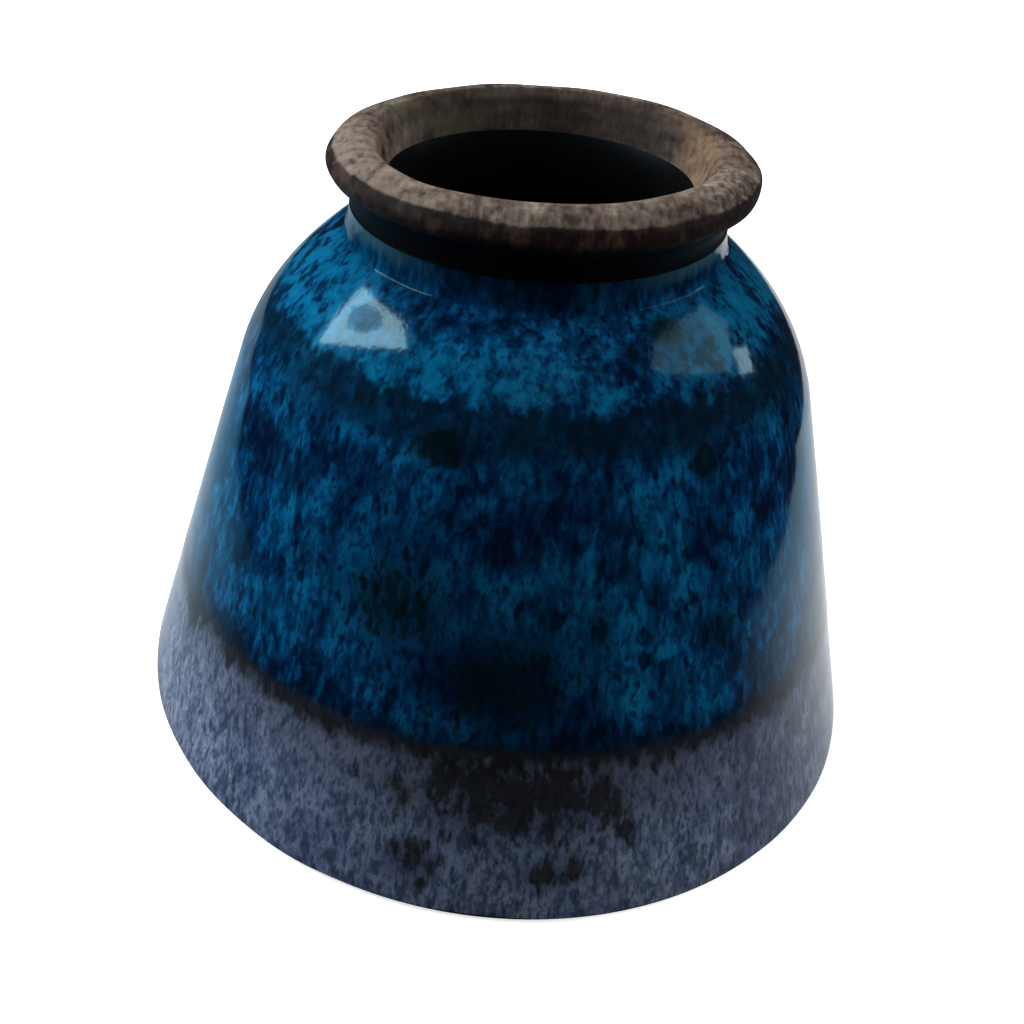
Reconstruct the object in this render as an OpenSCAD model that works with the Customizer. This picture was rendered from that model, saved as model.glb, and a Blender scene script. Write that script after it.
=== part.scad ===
// Squat stoneware bud vase: a leaning thrown wall on a let-in floor, a luted neck
// with a rolled lip, and the glaze coats that cover them. Millimetres, +Z up,
// origin at the centre of the foot, on the table.

/* [Body] */
// Diameter of the glazed wall at the foot, the widest place
foot_d = 82; // [76:1:88]
// How far the wall comes in for each millimetre of height at the foot
wall_lean = 0.27; // [0.25:0.002:0.30]
// How much the lean grows with height, which bows the wall outwards
wall_bow = 0.0003; // [0:0.0001:0.0006]
// Height where the wall turns into the shoulder
shoulder_z = 40.4; // [39:0.1:42]
// Thickness of the clay wall
wall_t = 3.8; // [3:0.1:4.4]

/* [Floor] */
// Height of the floor's underside above the table
floor_lift = 1.0; // [0.6:0.1:1.6]
// Thickness of the clay floor
floor_t = 4.0; // [3:0.1:5]

/* [Neck] */
// Outside radius of the neck at the top of the slip ridge
neck_r = 18.4; // [18.1:0.1:18.7]
// Height of the joint where the neck is luted to the shoulder
neck_z = 54.4; // [54.1:0.1:54.7]
// Height of the ridge of slip over the joint
ridge_h = 2.7; // [2.3:0.1:2.9]
// Width of the ridge where it runs out on the shoulder
ridge_w = 0.6; // [0.4:0.1:0.9]
// Radius of the glazed throat
throat_r = 14.2; // [13.8:0.1:14.4]
// Length of the straight part of the throat
throat_len = 5.2; // [4.6:0.1:5.4]

/* [Lip] */
// Radius from the axis to the middle of the lip's rolled section
lip_mid_r = 18.3; // [18:0.1:18.6]
// Height of the middle of the rolled section
lip_mid_z = 61.75; // [61.4:0.05:62.1]
// Half width of the rolled section
lip_half_w = 2.55; // [2.3:0.05:2.8]
// Half thickness of the rolled section
lip_half_t = 1.75; // [1.5:0.05:2]
// Angle at which the lip dips outwards
lip_dip = 15; // [10:1:20]

/* [Glaze] */
// Thickness of the coats on the outside of the wall
coat_t = 0.45; // [0.3:0.05:0.6]
// Thickness of the iron coat on the lip and neck
lip_coat_t = 0.25; // [0.15:0.05:0.3]
// Thickness of the coat inside
liner_t = 0.4; // [0.3:0.05:0.5]
// How far the roll of doubled glaze stands proud of the coats beside it
roll_proud = 0.15; // [0.05:0.05:0.3]
// Height of the bare clay edge under the foot coat
bare_foot_z = 0.7; // [0.4:0.1:1.2]
// Height of the lower edge of the doubled glaze
roll_low_z = 12.6; // [11:0.1:14]
// Height of the dip line, where the upper coat stops
dip_z = 17.2; // [15:0.1:20]

/* [Hidden] */
$fn = 96;

// Steps along each curve
wall_steps = 6;
turn_steps = 12;
neck_steps = 6;
sweep_steps = 4;
corner_step_deg = 15;
lip_step_deg = 12;
// Stretch of the rolled section that is drawn, from the neck over the crest to the funnel
lip_from_deg = -36;
lip_to_deg = 168;
// Pull of the curves at the shoulder, the neck and the lip
shoulder_reach = 8.7;
neck_reach = 2;
neck_hollow = 0.3;
neck_hollow_h = 1.2;
lip_reach = 0.9;
shoulder_end_deg = 38;
// Small breaks and set-backs in the foot and the throat
foot_bevel = 0.4;
foot_inner_bevel = 0.6;
foot_slope = 1.5;
corner_r = 3;
corner_lift = 1.6;
throat_clear = 1.5;
funnel_lift = 1.2;

bare_depth = coat_t;
inner_depth = coat_t + wall_t;
floor_top_z = floor_lift + floor_t;
ridge_z = neck_z + ridge_h;
shoulder_end = [neck_r + ridge_w, neck_z];
clay_neck_r = neck_r - lip_coat_t;
clay_throat_r = throat_r + liner_t;
lip_mid = [lip_mid_r, lip_mid_z];
funnel_end = [throat_r + 0.65, lip_mid_z - 2];
clay_funnel_end = funnel_end + [0.25, -0.12];
throat_top_z = funnel_end[1] - funnel_lift;
throat_low_z = throat_top_z - throat_len;

// Directions square to the wall at its top and along it, and the same at the shoulder's end
lean_deg = atan(wall_lean + 2 * wall_bow * shoulder_z);
wall_up = [-sin(lean_deg), cos(lean_deg)];
end_out = [sin(shoulder_end_deg), cos(shoulder_end_deg)];
end_down = [cos(shoulder_end_deg), -sin(shoulder_end_deg)];
// Directions along and across the rolled section
dip_out = [cos(lip_dip), -sin(lip_dip)];
dip_up = [sin(lip_dip), cos(lip_dip)];

// Radius of a surface that lies a depth inside the glazed wall, at a height
function under_r(z, depth) = foot_d / 2 - wall_lean * z - wall_bow * z * z
    - depth / cos(lean_deg);

function bezier(p, u) = pow(1 - u, 3) * p[0] + 3 * u * pow(1 - u, 2) * p[1]
    + 3 * u * u * (1 - u) * p[2] + pow(u, 3) * p[3];

function reversed(list) = [for (i = [len(list) - 1:-1:0]) list[i]];

// Wall between two heights, at a depth inside the glaze, from below upwards
function wall_line(z_from, z_to, depth) =
    [for (i = [0:wall_steps]) let (z = z_from + (z_to - z_from) * i / wall_steps)
        [under_r(z, depth), z]];

// Shoulder from the wall to its end at the slip ridge, at a depth inside the glaze
function shoulder_line(depth) =
    let (a = [under_r(shoulder_z, depth), shoulder_z],
         d = shoulder_end - depth * end_out)
    [for (i = [1:turn_steps])
        bezier([a, a + shoulder_reach * wall_up, d + neck_reach * end_down, d], i / turn_steps)];

// Point of the rolled section at an angle, at a depth inside the lip's coat
function lip_point(deg, depth) = lip_mid + (lip_half_w - depth) * cos(deg) * dip_out
    + (lip_half_t - depth) * sin(deg) * dip_up;

// Hollow of the neck from the top of the ridge to the underside of the lip
function neck_line(depth) =
    let (start = [neck_r - depth, ridge_z],
         end = lip_point(lip_from_deg, depth),
         along = lip_point(lip_from_deg + 1, depth) - end,
         waist = start + [-neck_hollow, neck_hollow_h])
    [for (i = [0:neck_steps])
        bezier([start, waist, end - lip_reach * along / norm(along), end], i / neck_steps)];

// Lip from the underside over the crest to the top of the funnel
function lip_line(depth) =
    [for (deg = [lip_from_deg + lip_step_deg:lip_step_deg:lip_to_deg]) lip_point(deg, depth)];

// Inside of the body, at a depth inside the glaze, from the floor's corner to the throat
function inside_line(depth, z_floor, r_throat) =
    let (middle = [under_r(z_floor + corner_r, depth + corner_r), z_floor + corner_r])
    concat(
        [for (deg = [-90:corner_step_deg:0]) middle + corner_r * [cos(deg), sin(deg)]],
        wall_line(z_floor + corner_r + corner_lift, shoulder_z, depth),
        [for (p = shoulder_line(depth)) if (p[0] > r_throat + throat_clear) p],
        [[r_throat, throat_low_z]]);

floor_r = inside_line(inner_depth, floor_top_z, clay_throat_r)[0][0];

module turned(outline) rotate_extrude() polygon(outline);

// A coat between two lines that both run upwards
module coat(outer, inner) turned(concat(outer, reversed(inner)));

// Thrown wall and shoulder; its lower edge is the foot ring
module body_wall()
    color("#4a3a30")
    turned(concat(
        [[under_r(0, bare_depth) - foot_bevel, 0]],
        wall_line(foot_bevel, shoulder_z, bare_depth),
        shoulder_line(bare_depth),
        [[clay_neck_r, neck_z], [clay_throat_r, neck_z]],
        reversed(inside_line(inner_depth, floor_top_z, clay_throat_r)),
        [[floor_r, floor_lift],
         [under_r(floor_lift, inner_depth) - foot_slope, floor_lift],
         [under_r(0, inner_depth) - foot_inner_bevel, 0]]));

// Flat slab let into the foot
module floor_slab()
    color("#54443a")
    translate([0, 0, floor_lift])
    cylinder(h = floor_t, r = floor_r);

// Neck and rolled lip, luted to the shoulder
module neck_collar()
    color("#4f3f34")
    turned(concat(
        [[clay_neck_r, neck_z]],
        neck_line(lip_coat_t),
        lip_line(lip_coat_t),
        [clay_funnel_end, [clay_throat_r, throat_top_z], [clay_throat_r, neck_z]]));

// Ridge of slip pressed out of the joint and smoothed down on to the shoulder
module lute_fillet()
    color("#8fa6b8")
    let (foot = shoulder_end,
         corner = [neck_r, neck_z + ridge_w * tan(shoulder_end_deg)],
         top = [neck_r, ridge_z])
    turned(concat(
        [[clay_neck_r, neck_z], shoulder_end - bare_depth * end_out],
        [for (i = [0:sweep_steps]) let (u = i / sweep_steps)
            pow(1 - u, 2) * foot + 2 * u * (1 - u) * corner + u * u * top],
        [[clay_neck_r, ridge_z]]));

// Blue coat on the shoulder and the upper wall
module shoulder_glaze()
    color("#0f4f86")
    coat(concat(wall_line(dip_z, shoulder_z, 0), shoulder_line(0)),
         concat(wall_line(dip_z, shoulder_z, bare_depth), shoulder_line(bare_depth)));

// Dark roll where the two dips overlap
module overlap_roll()
    color("#14181f")
    coat([for (p = wall_line(roll_low_z, dip_z, 0))
             p + [roll_proud * sin(180 * (p[1] - roll_low_z) / (dip_z - roll_low_z)), 0]],
         wall_line(roll_low_z, dip_z, bare_depth));

// Lavender coat on the lower wall
module foot_glaze()
    color("#5b6a8c")
    coat(wall_line(bare_foot_z, roll_low_z, 0), wall_line(bare_foot_z, roll_low_z, bare_depth));

// Iron coat over the neck and lip
module lip_glaze()
    color("#6b5548")
    coat(concat(neck_line(0), lip_line(0), [funnel_end]),
         concat(neck_line(lip_coat_t), lip_line(lip_coat_t), [clay_funnel_end]));

// Dark coat over the floor, the inside wall and the throat
module liner_glaze()
    color("#101114")
    turned(concat(
        [[0, floor_top_z]],
        inside_line(inner_depth, floor_top_z, clay_throat_r),
        [[clay_throat_r, throat_top_z], clay_funnel_end, funnel_end, [throat_r, throat_top_z]],
        reversed(inside_line(inner_depth + liner_t, floor_top_z + liner_t, throat_r)),
        [[0, floor_top_z + liner_t]]));

body_wall();
floor_slab();
neck_collar();
lute_fillet();
shoulder_glaze();
overlap_roll();
foot_glaze();
lip_glaze();
liner_glaze();
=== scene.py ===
import bmesh
import bpy
import numpy as np
from math import atan, cos, pi, radians, sin, tan
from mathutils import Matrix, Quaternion, Vector


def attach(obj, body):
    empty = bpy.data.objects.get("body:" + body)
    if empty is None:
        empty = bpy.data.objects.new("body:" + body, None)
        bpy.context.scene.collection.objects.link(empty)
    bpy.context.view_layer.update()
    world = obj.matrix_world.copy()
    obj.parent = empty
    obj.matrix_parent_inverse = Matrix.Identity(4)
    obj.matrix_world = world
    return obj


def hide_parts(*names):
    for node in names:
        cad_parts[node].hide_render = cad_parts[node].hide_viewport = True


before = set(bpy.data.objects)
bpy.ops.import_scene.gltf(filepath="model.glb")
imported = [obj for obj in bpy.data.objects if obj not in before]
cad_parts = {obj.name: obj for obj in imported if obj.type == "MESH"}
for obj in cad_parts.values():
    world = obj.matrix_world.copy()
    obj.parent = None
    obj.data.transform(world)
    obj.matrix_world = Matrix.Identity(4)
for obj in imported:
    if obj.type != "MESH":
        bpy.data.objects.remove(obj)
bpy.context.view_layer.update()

# ---------------------------------------------------------------------------
# Camera. A close hand-held view from above the front of the vase, tipped a
# little to one side, as somebody leaning over a table would see it.
camera_place = Vector((0.0, -0.1182, 0.1033))
camera_target = Vector((-0.0165, 0.0, 0.0222))
camera_tilt = radians(1.6)
sight = bpy.data.cameras.new("camera")
sight.lens = 43.98
sight.sensor_width = 36.0
sight.shift_x = 0.1465
sight.shift_y = -0.0312
sight.clip_start = 0.005
camera = bpy.data.objects.new("camera", sight)
bpy.context.scene.collection.objects.link(camera)
camera.location = camera_place
camera.rotation_mode = "QUATERNION"
camera.rotation_quaternion = ((camera_target - camera_place).to_track_quat("-Z", "Y")
                              @ Quaternion((0, 0, 1), camera_tilt))
bpy.context.scene.camera = camera
bpy.context.scene.view_settings.view_transform = "Standard"

# ---------------------------------------------------------------------------
# Table and light. The vase stands on a sheet of white paper on a pale table.
# Soft light comes from overhead, and two windows stand to the left and right.


class Wire:
    """One value in a material's recipe. Arithmetic on it adds Math nodes, and node() adds any other node."""

    def __init__(self, tree, socket=None):
        self.tree, self.socket = tree, socket

    def node(self, kind, settings=(), inputs=(), out=0):
        """A node of a type, with its settings made first, and values or wires put on its sockets."""
        made = self.tree.nodes.new("ShaderNode" + kind)
        for key, value in dict(settings).items():
            if key == "stops":
                ramp = made.color_ramp
                while len(ramp.elements) < len(value):
                    ramp.elements.new(0.5)
                for stop, (place, colour) in zip(ramp.elements, value):
                    stop.position = place
                    stop.color = (*colour, 1.0)
            else:
                setattr(made, key, value)
        for key, value in dict(inputs).items():
            if isinstance(value, Wire):
                self.tree.links.new(value.socket, made.inputs[key])
            else:
                made.inputs[key].default_value = value
        return Wire(self.tree, made.outputs[out] if len(made.outputs) else None)

    def maths(self, operation, *values):
        """A Math node, with values or wires on its sockets in turn."""
        return self.node("Math", {"operation": operation}, dict(enumerate(values)))

    def __add__(self, other):
        return self.maths("ADD", self, other)

    def __mul__(self, other):
        return self.maths("MULTIPLY", self, other)

    def __sub__(self, other):
        return self.maths("SUBTRACT", self, other)

    def __rsub__(self, other):
        return self.maths("SUBTRACT", other, self)

    def __truediv__(self, other):
        return self.maths("DIVIDE", self, other)

    __radd__, __rmul__ = __add__, __mul__

    def step(self, low, high):
        """0 below low, 1 above high, and a smooth rise between; low may be the larger, which turns it round."""
        return self.node("MapRange", {"interpolation_type": "SMOOTHSTEP"},
                         {"Value": self, "From Min": low, "From Max": high})

    def tint(self, base, other):
        """The colour base where this value is 0 and other where it is 1."""
        return self.node("Mix", {"data_type": "RGBA"},
                         {0: self, 6: rgba(base), 7: rgba(other)}, out=2)


def rgba(colour):
    """A colour as a socket takes it: a wire as it is, three numbers with a full alpha."""
    return colour if isinstance(colour, Wire) else (*colour, 1.0)


def recipe(name):
    """A new empty material, and a first wire to write its recipe from."""
    material = bpy.data.materials.new(name)
    material.use_nodes = True
    material.node_tree.nodes.clear()
    return material, Wire(material.node_tree)


def finish_recipe(wire, shader):
    """Puts the shader on the material's output."""
    wire.node("OutputMaterial", (), {"Surface": shader})


def glow(name, colour, strength):
    """A material that only shines."""
    material, w = recipe(name)
    finish_recipe(w, w.node("Emission", (), {"Color": rgba(colour), "Strength": strength}))
    return material


def stage_mesh(name, points, faces, material, seen_by):
    """A piece of the room. seen_by names what may see it: camera, diffuse or glossy rays."""
    mesh = bpy.data.meshes.new(name)
    mesh.from_pydata(points, [], faces)
    mesh.materials.append(material)
    made = bpy.data.objects.new(name, mesh)
    bpy.context.scene.collection.objects.link(made)
    made.visible_camera = "camera" in seen_by
    made.visible_diffuse = "diffuse" in seen_by
    made.visible_glossy = "glossy" in seen_by
    made.visible_transmission = made.visible_volume_scatter = False
    made.visible_shadow = False


table_half = 3.0
table_drop = 0.0001         # the table lies just under the foot, so that the two don't fight
table_stuff, w = recipe("pale_table")
place = w.node("TexCoord", (), (), out=3)
grain = w.node("TexNoise", (), {"Vector": place, "Scale": 900.0, "Detail": 2.0})
away = w.node("VectorMath", {"operation": "LENGTH"}, {0: place}, out=1)
finish_recipe(w, w.node("BsdfPrincipled", (), {
    "Base Color": grain.tint((0.80, 0.80, 0.80), (0.84, 0.84, 0.84)), "Roughness": 0.8,
    "Specular IOR Level": 0.2, "Emission Strength": 1.0,
    "Emission Color": away.step(0.10, 0.90).tint((0.62, 0.62, 0.62), (1.0, 1.0, 1.0))}))
stage_mesh("pale_table", [(-table_half, -table_half, -table_drop), (table_half, -table_half, -table_drop),
                          (table_half, table_half, -table_drop), (-table_half, table_half, -table_drop)],
           [(0, 1, 2, 3)], table_stuff, ("camera",))

# What the glaze mirrors of the paper: pale behind the vase, and shaded in front by whoever leans over it.
# A second sheet fans out from under its left edge, away to the back.
paper_left = -0.111
paper_right = 0.112
paper_front = -0.095
paper_back = 0.210
second_sheet_front = 0.035
second_sheet_left = -0.240
paper_drop = 0.0004
paper_stuff, w = recipe("paper_light")
place = w.node("TexCoord", (), (), out=3)
side = w.node("SeparateXYZ", (), {"Vector": place}, out=0)
depth = w.node("SeparateXYZ", (), {"Vector": place}, out=1)
shade = depth.step(-0.040, 0.016)
far = depth.step(0.020, 0.130)
across = (side - paper_left) / (paper_right - paper_left)
near = across.node("ValToRGB", {"stops": [
    (0.00, (0.06, 0.30, 0.48)), (0.15, (0.20, 0.47, 0.67)), (0.24, (0.47, 0.62, 0.74)), (0.33, (0.78, 0.84, 0.88)),
    (0.70, (0.88, 0.92, 0.94)), (0.80, (0.68, 0.78, 0.86)), (0.90, (0.42, 0.65, 0.81)),
    (1.00, (0.20, 0.50, 0.72))]}, {"Fac": across})
finish_recipe(w, w.node("Emission", (), {
    "Color": shade.tint((0.012, 0.016, 0.020), far.tint(
        near, side.step(-0.02, 0.02).tint((0.27, 0.38, 0.46), (0.72, 0.75, 0.76)))), "Strength": 1.0}))
stage_mesh("paper", [(paper_left, paper_front, -paper_drop), (paper_right, paper_front, -paper_drop),
                     (paper_right, paper_back, -paper_drop), (paper_left, paper_back, -paper_drop),
                     (paper_left, second_sheet_front, -paper_drop), (second_sheet_left, paper_back, -paper_drop)],
           [(0, 1, 2, 3), (4, 3, 5)], paper_stuff, ("diffuse", "glossy"))

# White surround, a low dome that only the camera sees
dome_radius = 6.0
dome_rings = 12
dome_sides = 48
dome_low = -0.15            # it starts a little under the table's level and all but closes at the top
dome_hole = 0.01
dome_rise, dome_turn = np.meshgrid(np.linspace(dome_low, pi / 2 - dome_hole, dome_rings),
                                   np.arange(dome_sides) * 2 * pi / dome_sides, indexing="ij")
dome_points = dome_radius * np.stack([np.cos(dome_rise) * np.cos(dome_turn), np.cos(dome_rise) * np.sin(dome_turn),
                                      np.sin(dome_rise)], -1).reshape(-1, 3)
i, j = np.meshgrid(np.arange(dome_rings - 1), np.arange(dome_sides), indexing="ij")
j2 = (j + 1) % dome_sides
dome_faces = np.stack([i * dome_sides + j, i * dome_sides + j2, (i + 1) * dome_sides + j2,
                       (i + 1) * dome_sides + j], -1).reshape(-1, 4).tolist()
dome_faces.append(list(range((dome_rings - 1) * dome_sides, dome_rings * dome_sides)))
stage_mesh("white_surround", dome_points, dome_faces, glow("surround_light", (1, 1, 1), 1.0), ("camera",))


def window(name, corners, panes, colour, strength):
    """A bright pane in the room, seen in the glaze. Each corner is a bearing from the front and a height,
    in degrees, on a sphere of radius reach round a point inside the vase."""
    reach = 0.61
    centre_height = 0.05
    points = [(reach * sin(radians(b)) * cos(radians(h)), -reach * cos(radians(b)) * cos(radians(h)),
               centre_height + reach * sin(radians(h))) for b, h in corners]
    stage_mesh(name, points, panes, glow(name + "_light", colour, strength), ("diffuse", "glossy"))


# The left one is bright round a curtain that hangs dim in its middle; the right one is dim with two bright edges
left_edge = [(-115, 38), (-102, 46), (-87, 53), (-67, 49), (-83, 36), (-99, 21), (-107, 30)]
left_middle = [(-107, 34), (-105, 41), (-96, 47), (-86, 45), (-90, 37), (-97, 32)]
window("left_window", left_edge + left_middle,
       [(6, 0, 8, 7), (0, 1, 9, 8), (1, 2, 9), (2, 3, 10, 9), (3, 4, 11, 10), (4, 5, 12, 11), (5, 6, 7, 12)],
       (0.52, 0.88, 1.0), 7.0)
window("left_curtain", left_middle, [(0, 1, 2, 3, 4, 5)], (0.45, 0.85, 1.0), 2.8)
window("right_window", [(76, 44), (87, 48), (105, 42), (119, 32), (119, 24), (103, 21), (84, 36)],
       [(0, 1, 2, 3, 4, 5, 6)], (0.42, 0.86, 1.0), 1.0)
window("right_window_inner", [(78, 43), (87, 48), (93, 44), (84, 40)], [(0, 1, 2, 3)], (0.6, 0.88, 1.0), 1.5)
window("right_window_outer", [(111, 22), (117, 17), (112, 12), (106, 17)], [(0, 1, 2, 3)], (0.66, 0.9, 1.0), 3.0)


def soft_light(name, place, aim, width, power, colour):
    """A square area light that lights surfaces but isn't mirrored in the glaze."""
    lamp = bpy.data.lights.new(name, "AREA")
    lamp.size = width
    lamp.energy = power
    lamp.color = colour
    made = bpy.data.objects.new(name, lamp)
    bpy.context.scene.collection.objects.link(made)
    made.location = place
    made.rotation_mode = "QUATERNION"
    made.rotation_quaternion = (Vector(aim) - Vector(place)).to_track_quat("-Z", "Y")
    made.visible_glossy = False
    made.visible_camera = False


soft_light("high_behind", (-0.24, 0.46, 0.50), (0, 0, 0.05), 0.40, 7.0, (1.0, 0.99, 0.97))
soft_light("left_side", (-0.60, 0.02, 0.26), (0, 0, 0.03), 0.36, 4.1, (0.97, 0.98, 1.0))
soft_light("right_side", (0.60, 0.02, 0.24), (0, 0, 0.03), 0.36, 2.1, (1.0, 0.98, 0.98))
soft_light("overhead", (0.12, -0.26, 0.60), (0, 0, 0.03), 0.40, 1.6, (1.0, 1.0, 1.0))

room = bpy.data.worlds.new("room")
room.use_nodes = True
room.node_tree.nodes["Background"].inputs["Color"].default_value = (0.9, 0.95, 1.0, 1.0)
room.node_tree.nodes["Background"].inputs["Strength"].default_value = 0.012
bpy.context.scene.world = room

# ---------------------------------------------------------------------------
# Thrown wall and shoulder: dark stoneware, thrown as a cone that leans in and
# turned over at the shoulder. It shows only as a thin bare edge at the foot.
foot_radius = 41.0          # all sizes of the vase are in millimetres
wall_lean = 0.27
wall_bow = 0.0003
shoulder_height = 40.4
shoulder_reach = 8.7
shoulder_end = (19.0, 54.4)
shoulder_end_slope = radians(38)
neck_reach = 2.0
coat = 0.45
clay = 3.8
floor_lift = 1.0
floor_top = 5.0
foot_bevel = 0.4
corner_round = 3.0
throat_radius = 14.2
liner = 0.4
lip_tilt = 0.018            # the lip isn't quite level: it stands a little higher at the front
tilt_from = 55.0            # the tilt sets in at the neck's foot and is whole this far over it
tilt_rise = 5.0
metre = 0.001
weld_distance = 1e-7        # in metres, as Blender takes it
crease = radians(40)
body = "root"


def bezier(points, t):
    """The cubic curve of four control points: each weighed by its Bernstein polynomial of t."""
    a, b, c, d = (np.asarray(p, float)[:, None] for p in points)
    return a * (1 - t) ** 3 + 3 * b * t * (1 - t) ** 2 + 3 * c * t * t * (1 - t) + d * t ** 3


def join(*stretches):
    """Puts stretches of outline end to end, as one array of radii and heights, and drops repeated points."""
    same_point = 1e-5
    line = np.concatenate([np.asarray(s, float).reshape(2, -1) for s in stretches], axis=1)
    keep = np.r_[True, np.hypot(*np.diff(line, axis=1)) > same_point]
    return line[:, keep]


class Outline:
    """A line in the half plane of radius and height, walked by its length, with the direction square to it."""

    def __init__(self, line):
        self.line = line
        self.run = np.r_[0, np.cumsum(np.hypot(*np.diff(line, axis=1)))]
        along = np.gradient(line, self.run, axis=1)
        along /= np.hypot(*along)
        self.out = np.array([along[1], -along[0]])

    def at(self, run, depth=0.0):
        """Radius and height at a length along the line, moved inwards by depth, square to the line."""
        spot = [np.interp(run, self.run, v) for v in self.line]
        face = [np.interp(run, self.run, v) for v in self.out]
        return np.array([spot[0] - depth * face[0], spot[1] - depth * face[1]])

    def where(self, height):
        """The length along the line at which it first reaches a height."""
        return np.interp(height, np.maximum.accumulate(self.line[1]), self.run)


def wall_radius(z):
    """The leaning wall: the foot's radius, less the lean times the height, less the bow times its square."""
    return foot_radius - wall_lean * z - wall_bow * z * z


def skin_line():
    """The glazed outside, from the table up the wall and over the shoulder to the neck."""
    wall_points, shoulder_points = 200, 160
    z = np.linspace(0, shoulder_height, wall_points)
    lean = atan(wall_lean + 2 * wall_bow * shoulder_height)
    start = np.array([wall_radius(shoulder_height), shoulder_height])
    end = np.array(shoulder_end)
    leave = start + shoulder_reach * np.array([-sin(lean), cos(lean)])
    arrive = end + neck_reach * np.array([cos(shoulder_end_slope), -sin(shoulder_end_slope)])
    return join([wall_radius(z), z], bezier([start, leave, arrive, end], np.linspace(0, 1, shoulder_points)))


skin = Outline(skin_line())


def shell(name, rings, slot_name, material, *nodes):
    """A closed turned piece. rings has the radius, height and turn of each point of a section that goes once
    round a loop, at each of the turns round the axis. The loop is closed on itself, and so are the turns.
    x is the radius times the sine of the turn and y less the radius times its cosine, and the height is
    lowered by the tilt times y, which sets in over the neck's foot along a smooth step."""
    radius, height, turn = rings
    points, turns = radius.shape
    x, y = radius * np.sin(turn), -radius * np.cos(turn)
    settle = np.clip((height - tilt_from) / tilt_rise, 0, 1)
    xyz = np.stack([x, y, height - lip_tilt * y * settle * settle * (3 - 2 * settle)], -1) * metre
    i, j = np.meshgrid(np.arange(points), np.arange(turns), indexing="ij")
    i2, j2 = (i + 1) % points, (j + 1) % turns
    quads = np.stack([i * turns + j, i * turns + j2, i2 * turns + j2, i2 * turns + j], -1).reshape(-1, 4)
    mesh = bpy.data.meshes.new(name)
    mesh.from_pydata(xyz.reshape(-1, 3), [], quads.tolist())
    work = bmesh.new()
    work.from_mesh(mesh)
    bmesh.ops.remove_doubles(work, verts=work.verts, dist=weld_distance)
    work.to_mesh(mesh)
    work.free()
    mesh.shade_smooth()
    mesh.set_sharp_from_angle(angle=crease)
    mesh.materials.append(material)
    piece = bpy.data.objects.new(name, mesh)
    bpy.context.scene.collection.objects.link(piece)
    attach(piece, body)
    if nodes:
        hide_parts(*nodes)
    return piece


def turns_of(count):
    """Bearings round the vase, from the front, one for each column of a grid."""
    return np.arange(count) * 2 * pi / count


def whole_turn(line, count):
    """A section that is the same all the way round."""
    turn = turns_of(count)
    return [line[0][:, None] + 0 * turn, line[1][:, None] + 0 * turn, turn + 0 * line[0][:, None]]


def hollow_line(depth, floor_height, radius_of_throat, throat_low):
    """The inside, from the floor's edge round its corner, up the wall and under the shoulder to the throat."""
    corner_points, corner_end, wall_points = 14, 0.2, 90
    corner_clear, throat_clear = 2.5, 1.5
    lean = atan(wall_lean)
    middle_height = floor_height + corner_round
    middle = wall_radius(middle_height) - (depth + corner_round) / cos(lean)
    turn = np.linspace(-pi / 2, corner_end, corner_points)
    corner = [middle + corner_round * np.cos(turn), middle_height + corner_round * np.sin(turn)]
    run = np.linspace(skin.where(middle_height + corner_clear), skin.run[-1], wall_points)
    inner = skin.at(run, depth)
    inner = inner[:, inner[0] > radius_of_throat + throat_clear]
    return join(corner, inner, [[radius_of_throat], [throat_low]])


def clay_look(name, dark, pale):
    """Bare dark stoneware: fine grog as specks, a slow change of tone from the kiln, a rough dry face."""
    material, w = recipe(name)
    place = w.node("TexCoord", (), (), out=3)
    tone = w.node("TexNoise", (), {"Vector": place, "Scale": 90.0, "Detail": 4.0})
    grog = w.node("TexNoise", (), {"Vector": place, "Scale": 1700.0, "Detail": 2.0, "Roughness": 0.7})
    specks = grog.step(0.60, 0.68)
    colour = (specks * 0.7).tint(tone.step(0.35, 0.65).tint(dark, pale), (0.30, 0.22, 0.15))
    bump = w.node("Bump", (), {"Height": grog + tone * 0.5, "Strength": 0.5, "Distance": 0.0002})
    finish_recipe(w, w.node("BsdfPrincipled", (), {
        "Base Color": colour, "Roughness": 0.80 - specks * 0.1, "Normal": bump}))
    return material


joint_height = shoulder_end[1]
neck_radius = 18.4
lip_coat = 0.25
throat_low = 53.35
throat_top = 58.55
outside_points = 140
wall_columns = 240
foot_ring_inset = 0.7       # the foot ring reaches in a little past the inside of the wall
foot_ring_chamfer = 1.0
foot_edge_gap = 0.05
inside_depth = coat + clay
clay_inside = hollow_line(inside_depth, floor_top, throat_radius + liner, throat_low)
floor_edge = clay_inside[0][0]
outside_run = np.linspace(skin.where(foot_bevel), skin.run[-1], outside_points)
foot_inner = wall_radius(0) - inside_depth - foot_ring_inset
clay_wall_line = join([[wall_radius(0) - coat - foot_bevel - foot_edge_gap], [0.0]],
                      skin.at(outside_run, coat),
                      [[neck_radius - lip_coat, throat_radius + liner], [joint_height, joint_height]],
                      clay_inside[:, ::-1],
                      [[floor_edge, foot_inner - foot_ring_chamfer, foot_inner], [floor_lift, floor_lift, 0.0]])
shell("clay_wall", whole_turn(clay_wall_line, wall_columns), "clay_body",
      clay_look("bare_clay", (0.030, 0.020, 0.015), (0.060, 0.038, 0.026)), "body_wall")

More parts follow.
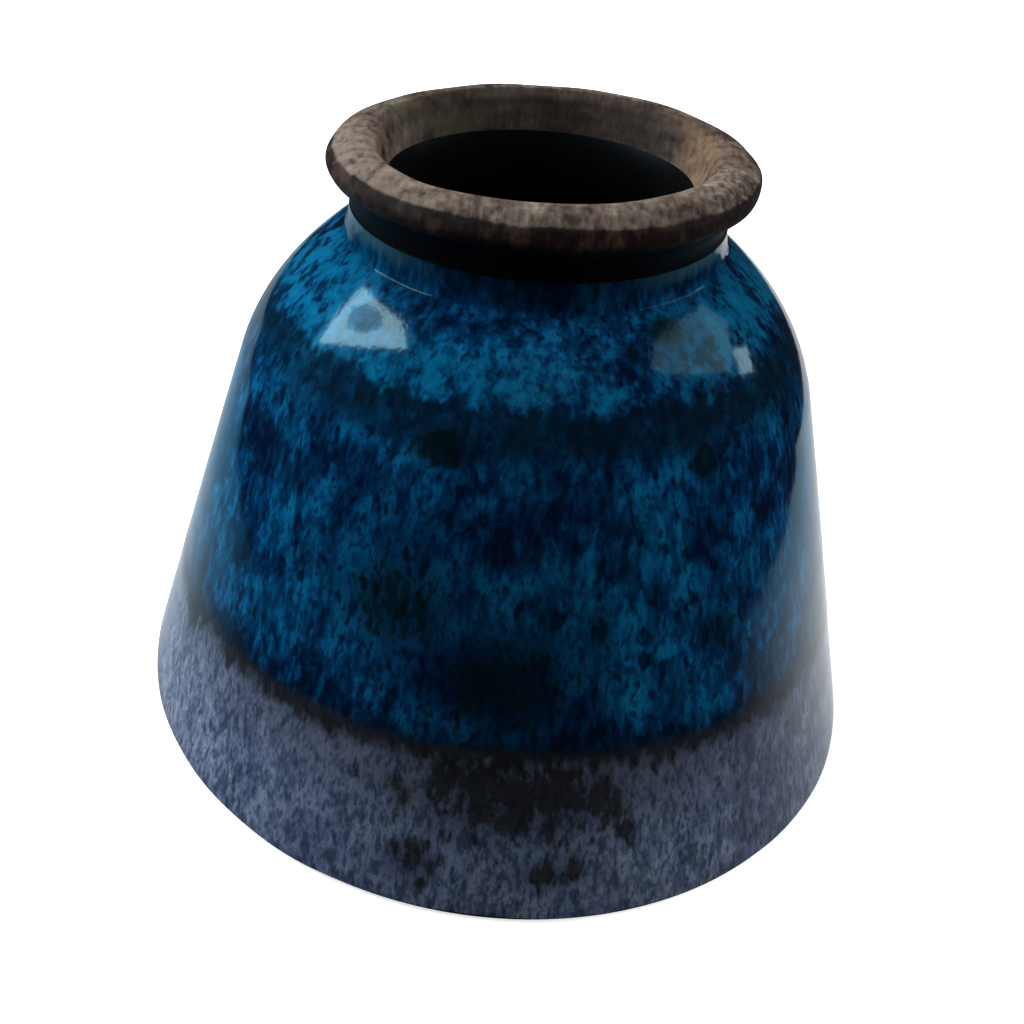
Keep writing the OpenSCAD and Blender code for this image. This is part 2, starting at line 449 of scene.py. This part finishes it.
# ---------------------------------------------------------------------------
# Floor: a flat disc of the same clay, cut from a slab and luted into the wall.
# Its underside is set up from the table and was wiped with a sponge.
floor_points = 40
floor_columns = 180
floor_gap = 0.02            # the disc stops just short of the wall's clay
sponge_wave = 0.12          # the sponge left shallow rings, which die out at the middle and the edge
sponge_pace = 1.9
out_to = np.linspace(0, floor_edge - floor_gap, floor_points)
floor_line = np.array([np.r_[out_to, out_to[::-1]], np.r_[floor_lift + 0 * out_to, floor_top + 0 * out_to]])
floor_line[1, :floor_points] += sponge_wave * np.sin(out_to * sponge_pace) * np.sin(pi * out_to / out_to[-1])
shell("clay_floor", whole_turn(floor_line, floor_columns), "clay_floor",
      clay_look("sponged_clay", (0.040, 0.027, 0.019), (0.075, 0.050, 0.034)), "floor_slab")

# ---------------------------------------------------------------------------
# Neck and lip: a thrown collar with its edge rolled outwards, luted on to the
# shoulder. Its clay is covered by the iron coat all over.
ridge_top = 57.1
lip_middle = np.array([18.3, 61.75])
lip_half_width = 2.55
lip_half_thick = 1.75
lip_dip = radians(15)
lip_from, lip_to = radians(-36), radians(168)
neck_hollow = 0.3
neck_hollow_rise = 1.2
lip_pull = 0.9
funnel_end = np.array([14.85, 59.75])
neck_points, roll_points, funnel_points = 60, 160, 60
clay_lip_points = 150
neck_columns = 180
tiny_turn = 0.01


def lip_point(turn):
    """The rolled edge: an oval whose long way dips outwards, at an angle round it."""
    out = np.array([cos(lip_dip), -sin(lip_dip)])[:, None]
    up = np.array([sin(lip_dip), cos(lip_dip)])[:, None]
    return lip_middle[:, None] + lip_half_width * np.cos(turn) * out + lip_half_thick * np.sin(turn) * up


def lip_line():
    """From the top of the slip ridge up the hollow neck, round the rolled edge and down the funnel."""
    start = np.array([neck_radius, ridge_top])
    end = lip_point(np.array([lip_from]))[:, 0]
    along = lip_point(np.array([lip_from + tiny_turn]))[:, 0] - end
    along /= np.hypot(*along)
    neck = bezier([start, start + (-neck_hollow, neck_hollow_rise), end - lip_pull * along, end],
                  np.linspace(0, 1, neck_points))
    roll = lip_point(np.linspace(lip_from, lip_to, roll_points))
    t = np.linspace(0, 1, funnel_points)
    funnel = np.outer(roll[:, -1], 1 - t) + np.outer(funnel_end, t)
    return join(neck, roll, funnel)


lip = Outline(lip_line())
lip_run = np.linspace(0, lip.run[-1], clay_lip_points)
clay_neck_line = join([[neck_radius - lip_coat], [joint_height]], lip.at(lip_run, lip_coat),
                      [[throat_radius + liner] * 2, [throat_top, joint_height]])
shell("clay_neck", whole_turn(clay_neck_line, neck_columns), "clay_neck",
      clay_look("neck_clay", (0.034, 0.022, 0.016), (0.062, 0.040, 0.027)), "neck_collar")

# ---------------------------------------------------------------------------
# Blue glaze: the vase was held by the foot and dipped upside down in a thick
# glossy glaze, which covers the shoulder and the wall down to the dip line.
dip_line = 17.9
roll_line = 12.6
ring_stand, ring_pace = 0.006, 1.35         # throwing rings: how far they stand out and how close they follow
hang_stand = 0.007                          # the glaze's own slow swags
oval_stand, three_way_stand = 0.10, 0.04    # how far out of round the wall was thrown
foot_fade, neck_fade = 12.0, 4.0
coat_seat = 0.98                            # the coats stop just short of the clay
spot_fall = 0.7


def wobble(turn, *waves):
    """A slow wander round the vase: a sum of sines, each with its size, its count of waves and where it starts."""
    return sum(size * np.sin(count * turn + start) for size, count, start in waves)


def dip_height(turn):
    """Height of the dip line round the vase, where the blue glaze stops."""
    return dip_line + wobble(turn, (0.35, 1, 0.7), (0.22, 3, 2.0), (0.12, 7, 0.4), (0.07, 13, 1.1), (0.05, 29, 2.6))


def roll_height(turn):
    """Height round the vase where the overlap ends and the pale glaze is alone."""
    return roll_line + wobble(turn, (0.5, 2, 1.0), (0.25, 5, 0.2), (0.12, 11, 2.2))


def thrown(turn, run):
    """How far the surface stands out at a turn and a length along the skin: the sum of faint throwing rings,
    which are sines of the length, a wall out of round, which is sines of the turn, and the glaze's hang, which
    is their product. The wall is round at the table, and all of it dies out towards the neck."""
    rings = ring_stand * np.sin(run * ring_pace + 0.7 * np.sin(turn)) * (0.6 + 0.4 * np.sin(run * 0.31 + 1.0))
    out_of_round = oval_stand * np.cos(2 * turn + 0.6) + three_way_stand * np.cos(3 * turn + run * 0.05)
    hang = hang_stand * np.sin(9 * turn + run * 0.35) * np.sin(run * 0.4 + 2 * turn)
    meets_neck = np.clip((skin.run[-1] - run) / neck_fade, 0, 1)
    return (rings + out_of_round * np.clip(run / foot_fade, 0, 1) + hang) * meets_neck


def iron_spot(bearing, height, half_width, half_height, strength=1.0):
    """A pool of iron in the glaze: where it lies, in degrees and millimetres, and how far it spreads."""
    return radians(bearing), height, half_width, half_height, strength


iron_spots = [
    iron_spot(-12, 45.0, 1.9, 1.2, 1.3),        # two round spots under the shoulder
    iron_spot(37, 43.6, 1.3, 1.3, 1.3),
    iron_spot(26, 51.9, 0.8, 0.6),              # and two on it
    iron_spot(37, 52.8, 2.0, 0.8),
    iron_spot(-15, 31.0, 5.5, 4.6, 0.74),       # green-black pools low on the front
    iron_spot(2, 25.2, 7.0, 4.6, 0.90),
    iron_spot(17, 30.0, 1.3, 2.2, 0.75),
    iron_spot(39, 27.4, 1.7, 2.2, 0.80),
    iron_spot(-60, 15.6, 2.0, 2.4, 1.2),        # a run through the dip line on the left
    iron_spot(-61, 20.0, 1.1, 3.4, 1.1),
    iron_spot(-8, 5.5, 3.0, 2.8, 0.85),         # and dark pools by the foot
    iron_spot(12, 6.2, 4.6, 2.6, 0.75),
    iron_spot(23, 9.4, 1.3, 1.5, 0.9),
    iron_spot(6, 13.6, 12.0, 4.6, 0.98),
]
back_spots = 26             # the same kind of marks, scattered over the side that faces away
scatter = np.random.default_rng(41)
iron_spots += [iron_spot(bearing, height, size, size * stretch, strong) for bearing, height, size, stretch, strong
               in zip(scatter.uniform(75, 285, back_spots), scatter.uniform(3, 52, back_spots),
                      scatter.uniform(0.8, 3.6, back_spots), scatter.uniform(0.6, 1.4, back_spots),
                      scatter.uniform(0.55, 1.0, back_spots))]


def iron_here(turn, radius, height):
    """How much iron lies at a point: the strongest of the spots, each fading as a bell from its middle."""
    most = np.zeros_like(radius)
    for bearing, middle, half_width, half_height, strength in iron_spots:
        across = (np.mod(turn - bearing + pi, 2 * pi) - pi) * radius / half_width
        up = (height - middle) / half_height
        most = np.maximum(most, strength * np.exp(-spot_fall * (across ** 2 + up ** 2)))
    return most


def coat_shell(name, low, high, rows, columns, proud, slot_name, material, node):
    """A coat of glaze on the skin between two lengths along it, low and high, which may change round the vase.
    The section goes up the outside, which stands out as thrown says with proud(turn, share) added, where share
    runs from 0 at the low edge to 1 at the high one, and back down against the clay."""
    turn = turns_of(columns)[None, :] + np.zeros((rows, 1))
    share = np.linspace(0, 1, rows)[:, None]
    run = low(turn) * (1 - share) + high(turn) * share
    stand = thrown(turn, run) + proud(turn, share)
    outer = skin.at(run, -stand)
    inner = skin.at(run, coat * coat_seat)
    rings = [np.concatenate([outer[k], inner[k][::-1]]) for k in (0, 1)] + [np.concatenate([turn, turn])]
    note_glaze(shell(name, rings, slot_name, material, node).data)


def note_glaze(mesh):
    """Writes on each point of a glazed mesh how much iron lies there and its height over the dip line."""
    xyz = np.empty(len(mesh.vertices) * 3)
    mesh.vertices.foreach_get("co", xyz)
    x, y, z = xyz.reshape(-1, 3).T / metre
    around, far = np.arctan2(x, -y), np.hypot(x, y)
    for key, value in (("iron", iron_here(around, far, z)), ("over_dip", z - dip_height(around))):
        layer = mesh.attributes.new(key, "FLOAT", "POINT")
        layer.data.foreach_set("value", value.astype(np.float32))


def dipped_glaze(name, shine):
    """Both glazes and their overlap as one look, so that they run into each other over the joins.
    Blue: streaked and mottled, with navy flecks drawn out downwards. Pale: grey lavender, with dark strokes.
    over_dip is the height over the dip line in millimetres, and iron is how much iron pools there."""
    material, w = recipe(name)
    place = w.node("TexCoord", (), (), out=3)

    def stretched(across, down, shift):
        """Object coordinates for a pattern with a given grain across and down the vase, in millimetres."""
        return w.node("Mapping", (), {"Vector": place, "Location": (shift, shift, shift),
                                      "Scale": (1 / across / metre, 1 / across / metre, 1 / down / metre)})

    def noise(across, down, detail, shift, rough=0.5):
        """Noise with a grain of that size; shift keeps two of them from lining up."""
        return w.node("TexNoise", (), {"Vector": stretched(across, down, shift), "Scale": 1.0, "Detail": detail,
                                       "Roughness": rough})

    def value(key):
        """A value that note_glaze wrote on the mesh."""
        return w.node("Attribute", {"attribute_name": key}, (), out=2)

    iron, over = value("iron"), value("over_dip")
    height = w.node("SeparateXYZ", (), {"Vector": place}, out=2) / metre
    broad = noise(12.0, 15.0, 1.0, 3.1)
    patch = noise(3.8, 6.0, 2.0, 7.7)
    cluster = noise(1.9, 3.8, 2.0, 2.4)
    streak = noise(0.80, 2.2, 2.0, 1.3)
    grain = noise(0.32, 0.70, 2.0, 5.2, 0.6)
    fleck = noise(1.00, 2.4, 1.0, 9.4)
    stroke = noise(0.75, 2.4, 1.0, 12.0)

    # blue glaze: from navy through to azure as its thickness changes
    tone = 0.46 + (broad - 0.5) * 0.40 + (patch - 0.5) * 0.72 + (cluster - 0.5) * 0.72 \
        + (streak - 0.5) * 0.66 + (grain - 0.5) * 0.30
    blue = tone.node("ValToRGB", {"stops": [
        (0.24, (0.0003, 0.0055, 0.022)), (0.38, (0.0005, 0.018, 0.060)), (0.50, (0.0008, 0.036, 0.108)),
        (0.62, (0.0012, 0.080, 0.200)), (0.80, (0.0040, 0.145, 0.295))]}, {"Fac": tone})
    teal, navy, ink = (0.0008, 0.055, 0.090), (0.0004, 0.010, 0.038), (0.0003, 0.0045, 0.019)
    blue = (broad.step(0.46, 0.62) * 0.12).tint(blue, teal)
    dashes = noise(0.55, 1.5, 1.0, 15.3)
    flecks = fleck.step(0.46, 0.29)
    blue = (dashes.step(0.42, 0.30) * 0.75).tint(blue, navy)
    blue = (flecks * 0.85).tint(blue, ink)

    # pale glaze: lavender grey, with short dark strokes and paler grains
    wash = 0.5 + (broad - 0.5) * 0.30 + (patch - 0.5) * 0.42 + (cluster - 0.5) * 0.46 \
        + (streak - 0.5) * 0.80 + (grain - 0.5) * 0.72
    pale = wash.node("ValToRGB", {"stops": [
        (0.24, (0.034, 0.054, 0.100)), (0.38, (0.072, 0.102, 0.176)), (0.50, (0.116, 0.154, 0.252)),
        (0.64, (0.175, 0.216, 0.322)), (0.82, (0.290, 0.335, 0.430))]}, {"Fac": wash})
    lilac, grey = (0.125, 0.135, 0.250), (0.070, 0.072, 0.088)
    slate, dark_slate = (0.024, 0.040, 0.070), (0.022, 0.036, 0.070)
    pale = (broad.step(0.54, 0.40) * 0.28).tint(pale, lilac)
    pale = (over.step(-10.5, -3.0) * 0.40).tint(pale, grey)
    strokes = stroke.step(0.48, 0.33)
    pale = (strokes * 0.70).tint(pale, dark_slate)
    pale = (dashes.step(0.44, 0.31) * 0.65).tint(pale, slate)
    east = w.node("SeparateXYZ", (), {"Vector": place}, out=0) / metre
    thin = (east + (patch - 0.5) * 30.0).step(2.0, 30.0)         # the dip was thinner on the right
    pale = (thin * cluster.step(0.62, 0.40) * 0.50).tint(pale, (0.034, 0.046, 0.070))

    # the overlap: brown-black under the dip line, broken up as it fades into the pale glaze
    ragged = over + (streak - 0.5) * 4.0 + (patch - 0.5) * 4.0 + (cluster - 0.5) * 2.5
    band = ragged.step(-3.3, -0.6)
    brown_black = (0.0085, 0.0075, 0.0080)
    pale = (band * 0.93).tint(pale, brown_black)
    blue_foot = (over + (streak - 0.5) * 2.6 + (patch - 0.5) * 2.6).step(3.0, 0.0) * 0.62
    blue = blue_foot.tint(blue, (0.0004, 0.0035, 0.012))
    colour = (over + (grain - 0.5) * 0.8).step(-0.7, 0.7).tint(pale, blue)

    # the shoulder: lighter just over the break, painted light on its flanks, darker under the break, and painted
    # shade from the lip towards the neck
    edge = height + (patch - 0.5) * 2.2 + (cluster - 0.5) * 1.8 + (streak - 0.5) * 1.4
    under = edge.step(43.4, 46.8) * edge.step(49.0, 47.9)
    colour = (under * (0.60 + patch.step(0.40, 0.58) * 0.30)).tint(colour, (0.0010, 0.0075, 0.016))
    above = edge.step(48.3, 49.2) * edge.step(53.4, 50.0) * tone.step(0.36, 0.60)
    colour = (above * 0.28).tint(colour, (0.003, 0.120, 0.225))
    # painted light: the shoulder's left and right flanks are made lighter, as lit from the sides
    painted_flank_light = (w.maths("ABSOLUTE", east) + (patch - 0.5) * 8.0).step(12.0, 20.0)
    colour = (painted_flank_light * edge.step(49.2, 50.4) * edge.step(56.0, 54.0) * tone.step(0.30, 0.55) * 0.60).tint(
        colour, (0.002, 0.115, 0.230))
    # painted shade: the shoulder darkens towards the neck, as the shade under the lip
    painted_lip_shade = edge.step(53.4, 57.2)
    colour = (painted_lip_shade * 0.70).tint(colour, (0.0005, 0.0090, 0.022))
    # painted reflection: a pale band beside the neck, only on its left and right
    painted_neck_glint = (height + (streak - 0.5) * 1.0 + (cluster - 0.5) * 0.8).step(55.4, 57.0)
    sides = w.maths("ABSOLUTE", east).step(7.0, 17.0)
    colour = (painted_neck_glint * sides * 0.60).tint(colour, (0.045, 0.130, 0.185))

    # iron pools, with ragged edges
    pool = iron + (streak - 0.5) * 1.3 + (cluster - 0.5) * 1.3 + (grain - 0.5) * 0.7 + (patch - 0.5) * 0.6
    pool = pool.step(0.32, 0.84)
    pool_colour = over.step(-0.5, 0.5).tint((0.0090, 0.0088, 0.0080), (0.0009, 0.0048, 0.0058))
    colour = (pool * 0.92).tint(colour, pool_colour)

    relief = streak * 0.4 + grain * 0.2 - flecks * 0.2 - strokes * 0.2 + cluster * 0.4
    bump = w.node("Bump", (), {"Height": relief, "Strength": 0.10, "Distance": 0.00008})
    finish_recipe(w, w.node("BsdfPrincipled", (), {
        "Base Color": colour, "Roughness": 0.06 + grain * 0.05 + pool * 0.06, "IOR": 1.5, "Specular IOR Level": shine,
        "Normal": bump}))
    return material


dipped = dipped_glaze("dipped_glaze", 0.5)
coat_columns = 360
blue_rows = 130
ridge_foot = skin.run[-1]
coat_shell("blue_coat", lambda turn: skin.where(dip_height(turn)), lambda turn: ridge_foot + 0 * turn,
           blue_rows, coat_columns, lambda turn, share: 0.0, "blue_glaze", dipped, "shoulder_glaze")

# ---------------------------------------------------------------------------
# Dark roll: where the second dip overlapped the first, the two glazes ran
# together in the kiln into a low brown-black roll just under the dip line.
roll_rows = 36
roll_swell = 0.03
coat_shell("dark_roll", lambda turn: skin.where(roll_height(turn)), lambda turn: skin.where(dip_height(turn)),
           roll_rows, coat_columns, lambda turn, share: roll_swell * np.sin(pi * share) ** 2,
           "dark_glaze", dipped, "overlap_roll")

# ---------------------------------------------------------------------------
# Pale glaze: the foot was dipped on its own in a grey lavender glaze. Its edge
# was wiped back from the table, a little unevenly, and thins out there.
pale_rows = 56
wiped_line = 0.7
wiped_thin = 0.16
wiped_fade = 16             # the thinning is over within a sixteenth of the coat's height


def wiped_height(turn):
    """Height of the wiped edge of the pale glaze round the foot."""
    return wiped_line + wobble(turn, (0.10, 3, 0.3), (0.06, 8, 1.9), (0.04, 19, 0.8))


coat_shell("pale_coat", lambda turn: skin.where(wiped_height(turn)), lambda turn: skin.where(roll_height(turn)),
           pale_rows, coat_columns, lambda turn, share: -wiped_thin * np.exp(-share * wiped_fade),
           "lavender_glaze", dipped, "foot_glaze")

# ---------------------------------------------------------------------------
# Slip ridge: soft clay that was pressed out of the neck's joint and left as a
# fine ridge. The blue glaze is thin over it, with a painted reflection pale on its left and right.
ridge_columns = 300
ridge_points = 16
ridge_swell = 0.04
corner = np.array([neck_radius, shoulder_end[1] + (shoulder_end[0] - neck_radius) * tan(shoulder_end_slope)])
t = np.linspace(0, 1, ridge_points)
sweep = (np.outer(shoulder_end, (1 - t) ** 2) + 2 * np.outer(corner, t * (1 - t))
         + np.outer((neck_radius, ridge_top), t * t))
ridge_line = join([[neck_radius - lip_coat], [joint_height]], skin.at(np.array([skin.run[-1]]), coat), sweep,
                  [[neck_radius - lip_coat], [ridge_top]])
rings = whole_turn(ridge_line, ridge_columns)
proud_rows = slice(2, 2 + len(t))
ridge_wander = wobble(rings[2][proud_rows], (0.04, 5, 0.4), (0.03, 12, 2.0), (0.02, 31, 0.9))
rings[0][proud_rows] += (ridge_wander + ridge_swell) * np.sin(pi * t)[:, None] ** 2
note_glaze(shell("slip_ridge", rings, "slip", dipped_glaze("thin_glaze", 0.18), "lute_fillet").data)

# ---------------------------------------------------------------------------
# Iron coat: a thin brown glaze over the lip, dry and streaked where it was
# wiped on the wheel. The hollow of the neck is painted black as the shade under the lip.
lip_rows = 110
lip_columns = 420
rib_stand, rib_pace = 0.03, 4.1             # finger ribs that follow the lip round
drag_stand, drag_pace = 0.02, 1.7           # and the drag of the wiping sponge across them
turn = turns_of(lip_columns)[None, :] + np.zeros((lip_rows, 1))
share = np.linspace(0, 1, lip_rows)[:, None]
run = lip.run[-1] * share + 0 * turn
fade = np.sin(pi * np.clip(share, 0, 1)) ** 0.5
uneven = (wobble(turn, (0.10, 2, 1.0), (0.06, 3, 0.4), (0.035, 7, 2.2), (0.02, 13, 0.5))
          + rib_stand * np.sin(run * rib_pace + 2 * np.sin(turn)) + drag_stand * np.sin(11 * turn + run * drag_pace))
outer = lip.at(run, -uneven * fade)
inner = lip.at(run, lip_coat * coat_seat)
rings = [np.concatenate([outer[k], inner[k][::-1]]) for k in (0, 1)] + [np.concatenate([turn, turn])]
iron_look, w = recipe("iron_coat")
place = w.node("TexCoord", (), (), out=3)
height = w.node("SeparateXYZ", (), {"Vector": place}, out=2) / metre
east = w.node("SeparateXYZ", (), {"Vector": place}, out=0) / metre
north = w.node("SeparateXYZ", (), {"Vector": place}, out=1) / metre
face = w.node("NewGeometry", (), (), out=1)
facing_up = w.node("SeparateXYZ", (), {"Vector": face}, out=2)
across = w.node("VectorMath", {"operation": "MULTIPLY"}, {0: place, 1: (1.0, 1.0, 0.0)})
from_axis = w.node("VectorMath", {"operation": "LENGTH"}, {0: across}, out=1) / metre
outward = w.node("VectorMath", {"operation": "DOT_PRODUCT"}, {
    0: face, 1: w.node("VectorMath", {"operation": "NORMALIZE"}, {0: across})}, out=1)
facing_in = 0.0 - outward
outside = from_axis.step(17.6, 18.3)
cloud = w.node("TexNoise", (), {"Vector": place, "Scale": 190.0, "Detail": 3.0})
mottle = w.node("TexNoise", (), {"Vector": place, "Scale": 620.0, "Detail": 4.0, "Roughness": 0.62})
brushed = w.node("TexNoise", (), {"Vector": w.node("Mapping", (), {
    "Vector": place, "Scale": (2200.0, 700.0, 900.0)}), "Scale": 1.0, "Detail": 2.0})
speck = w.node("TexNoise", (), {"Vector": place, "Scale": 1500.0, "Detail": 1.0})
tone = 0.5 + (cloud - 0.5) * 0.6 + (mottle - 0.5) * 0.7 + (brushed - 0.5) * 0.5
iron_colour = tone.node("ValToRGB", {"stops": [
    (0.26, (0.016, 0.011, 0.010)), (0.40, (0.050, 0.034, 0.028)), (0.52, (0.090, 0.067, 0.054)),
    (0.64, (0.140, 0.110, 0.089)), (0.80, (0.230, 0.190, 0.155))]}, {"Fac": tone})
back_shade_colour, moss, painted_light_sand = (0.022, 0.015, 0.013), (0.052, 0.058, 0.034), (0.230, 0.180, 0.145)
rust_brown, chalk, neck_shade_black = (0.150, 0.084, 0.042), (0.300, 0.260, 0.230), (0.0016, 0.0016, 0.0022)
underside_shade_dark, underside_shade_pale = (0.0085, 0.0050, 0.0045), (0.034, 0.020, 0.016)
# painted shade: the back of the funnel, which faces the front, is darkened
painted_back_shade = north.step(2.0, 13.0) * facing_in.step(0.0, 0.35)
iron_colour = (painted_back_shade * 0.75).tint(iron_colour, back_shade_colour)
olive = east.step(-2.0, -12.0) * north.step(0.0, 12.0) * cloud.step(0.40, 0.56)
iron_colour = (olive * 0.45).tint(iron_colour, moss)
# painted light: the front-left of the lip is made paler in patches, as lit from the left
painted_left_light = east.step(-4.0, -15.0) * north.step(9.0, -4.0) * mottle.step(0.30, 0.55)
iron_colour = (painted_left_light * 0.45).tint(iron_colour, painted_light_sand)
rust = (east + (cloud - 0.5) * 8.0).step(11.5, 16.0) * facing_in.step(0.10, 0.45) * north.step(-9.0, -2.0)
iron_colour = (rust * 0.55 * mottle.step(0.30, 0.55)).tint(iron_colour, rust_brown)
worn = (east + (cloud - 0.5) * 6.0).step(13.0, 17.0) * north.step(0.0, -6.0) * speck.step(0.52, 0.70)
iron_colour = (worn * 0.35).tint(iron_colour, chalk)
# painted shade: the lip's outer side and underside, which turn away from above, are darkened
painted_underside_shade = (facing_up + (mottle - 0.5) * 0.30 + (cloud - 0.5) * 0.3).step(0.80, 0.62) * outside
iron_colour = (painted_underside_shade * 0.92).tint(iron_colour, tone.step(0.40, 0.66).tint(underside_shade_dark, underside_shade_pale))
# painted shade: the neck under the lip is painted near black, the shade of the lip
painted_neck_shade = (height + (cloud - 0.5) * 1.6 + (mottle - 0.5) * 0.8).step(60.9, 59.8) * outside
iron_colour = (painted_neck_shade * 0.97).tint(iron_colour, neck_shade_black)
finish_recipe(w, w.node("BsdfPrincipled", (), {
    "Base Color": iron_colour, "Roughness": 0.58 + mottle * 0.14, "Specular IOR Level": 0.20,
    "Normal": w.node("Bump", (), {"Height": mottle + cloud * 0.5 + brushed * 0.4, "Strength": 0.40,
                                  "Distance": 0.00018})}))
shell("iron_lip", rings, "iron_glaze", iron_look, "lip_glaze")

# ---------------------------------------------------------------------------
# Liner: a black glaze poured in, rolled round and poured out, over the floor,
# the inside wall and the throat.
liner_columns = 180
liner_tuck = np.array([0.2, -0.1])          # its upper edge tucks under the end of the iron coat
tuck = funnel_end + liner_tuck
liner_back = hollow_line(inside_depth, floor_top, throat_radius + liner, throat_low)
liner_face = hollow_line(inside_depth + liner, floor_top + liner, throat_radius, throat_low)
liner_line = join([[tuck[0], funnel_end[0]], [tuck[1], funnel_end[1]]],
                  [[throat_radius, throat_radius], [throat_top, throat_low]], liner_face[:, ::-1],
                  [[0.0, 0.0], [floor_top + liner, floor_top]], liner_back, [[throat_radius + liner], [throat_top]])
liner_look, w = recipe("black_liner")
place = w.node("TexCoord", (), (), out=3)
pour = w.node("TexNoise", (), {"Vector": place, "Scale": 160.0, "Detail": 3.0})
finish_recipe(w, w.node("BsdfPrincipled", (), {
    "Base Color": pour.tint((0.0012, 0.0012, 0.0015), (0.0035, 0.0032, 0.0036)), "Roughness": 0.35 + pour * 0.2,
    "Specular IOR Level": 0.15,
    "Normal": w.node("Bump", (), {"Height": pour, "Strength": 0.2, "Distance": 0.0002})}))
shell("liner", whole_turn(liner_line, liner_columns), "liner_glaze", liner_look, "liner_glaze")
